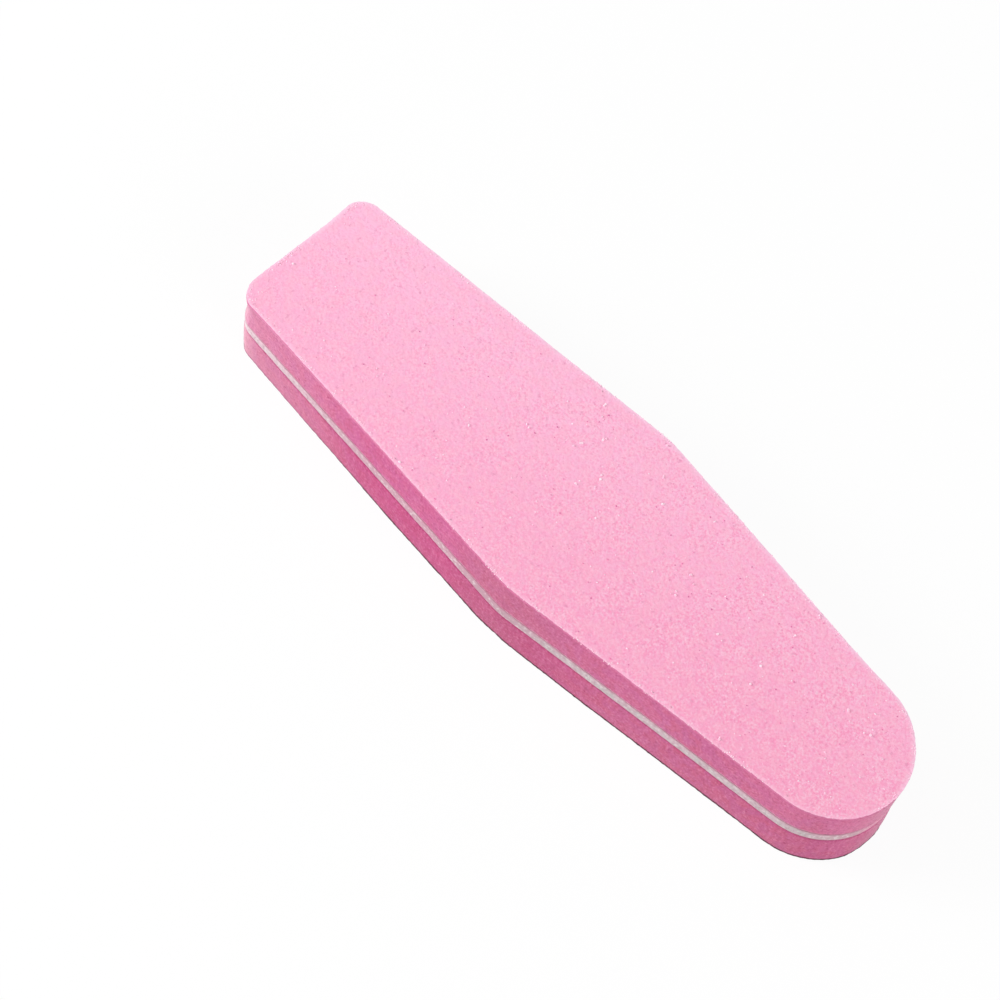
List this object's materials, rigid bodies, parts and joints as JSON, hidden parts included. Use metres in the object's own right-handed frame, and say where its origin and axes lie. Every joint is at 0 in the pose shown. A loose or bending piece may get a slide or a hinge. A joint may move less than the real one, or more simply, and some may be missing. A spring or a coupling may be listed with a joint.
{
  "type": "nail buffer",
  "caption": "Double-sided sponge nail buffer: a stiff core between foam pads, each faced with abrasive paper, cut to a boat-shaped outline.",
  "frame": {"origin": "bottom centre of the bounding box, on the fine-grit face that rests on the table", "axes": "+Y along the length from the square end to the round nose, +X across the width, +Z from the fine face up to the coarse face"},
  "size_m": [0.027, 0.0902, 0.0112],
  "materials": {
    "fine_grit": "matt pink resin coat filled with very fine polishing grain",
    "coarse_grit": "matt pink resin coat with coarser filing grain and scattered glints",
    "abrasive_paper": "pale pink latex paper, raw at its cut edge",
    "adhesive_film": "thin clear glue film that reads dark in the joint",
    "foam": "deep pink fine-celled sponge, matt at its die-cut wall",
    "core_board": "white stiff sheet, matt at its cut edge"
  },
  "bodies": {
    "root": {"fine_grit_coat": "fine_grit", "lower_abrasive_paper": "abrasive_paper", "lower_paper_tape": "adhesive_film", "lower_foam_pad": "foam", "lower_core_tape": "adhesive_film", "core_board": "core_board", "upper_core_tape": "adhesive_film", "upper_foam_pad": "foam", "upper_paper_tape": "adhesive_film", "upper_abrasive_paper": "abrasive_paper", "coarse_grit_coat": "coarse_grit"}
  },
  "joints": []
}
